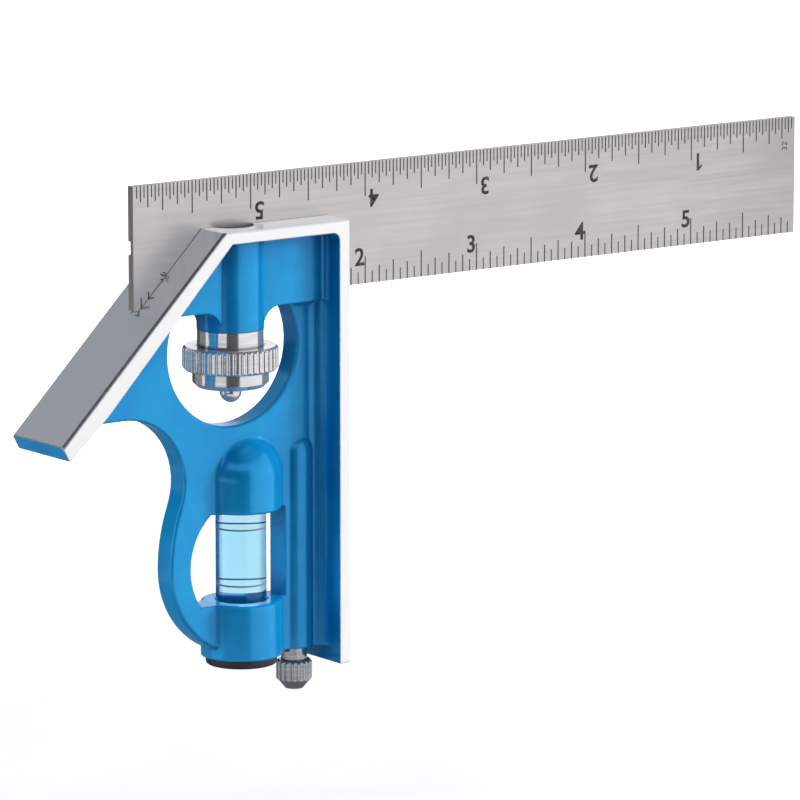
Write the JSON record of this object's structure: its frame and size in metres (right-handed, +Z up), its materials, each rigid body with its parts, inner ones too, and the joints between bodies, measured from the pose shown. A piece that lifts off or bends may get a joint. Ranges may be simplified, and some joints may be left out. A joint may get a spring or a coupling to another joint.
{
  "type": "combination square",
  "caption": "Combination square: grooved rule sliding in a cast head with square and mitre faces, knurled lock nut, level vial and stored scriber.",
  "frame": {"origin": "on the square face, level with the lower edge of the blade and midway through the head's thickness", "axes": "+X out of the square face along the blade, +Z up across the blade, -Y towards the front of the head"},
  "size_m": [0.1725, 0.0174, 0.0953],
  "materials": {
    "head_paint": "glossy azure paint on die-cast metal, rims and faces ground bare",
    "blade_steel": "satin stainless steel with dark etched scale",
    "bolt_steel": "bright plated steel",
    "nut_chrome": "bright plated, knurled",
    "spring_steel": "drawn spring wire",
    "vial_acrylic": "clear acrylic",
    "vial_liquid": "pale clear liquid",
    "cap_plastic": "black moulded plastic",
    "pin_steel": "hardened ground steel",
    "knob_chrome": "bright plated, knurled",
    "sleeve_brass": "plain turned brass"
  },
  "bodies": {
    "head": {"head": "head_paint", "lock_spring": "spring_steel", "vial_tube": "vial_acrylic", "vial_fluid": "vial_liquid", "vial_plug": "vial_acrylic", "vial_cap": "cap_plastic", "scriber_sleeve": "sleeve_brass"},
    "blade": {"blade": "blade_steel"},
    "bolt": {"lock_bolt": "bolt_steel"},
    "nut": {"lock_nut": "nut_chrome"},
    "scriber": {"scriber_shank": "pin_steel", "scriber_head": "knob_chrome"}
  },
  "joints": [
    {"name": "blade_slide", "type": "slide", "parent": "head", "child": "blade", "axis": [1, 0, 0], "range_m": [-0.1101, 0.0143]},
    {"name": "nut_turn", "type": "hinge", "parent": "head", "child": "nut", "pos_m": [-0.0209, 0, -0.0105], "axis": [0, 0, -1], "range_deg": [0, 360]},
    {"name": "bolt_draw", "type": "slide", "parent": "head", "child": "bolt", "axis": [0, 0, 1], "range_m": [0, 0.0007]},
    {"name": "scriber_slide", "type": "slide", "parent": "head", "child": "scriber", "axis": [0, 0, -1], "range_m": [0, 0.036]}
  ],
  "couplings": [
    {"joint": "nut_turn", "follows": "bolt_draw", "rad_per_m": 8975.9}
  ]
}
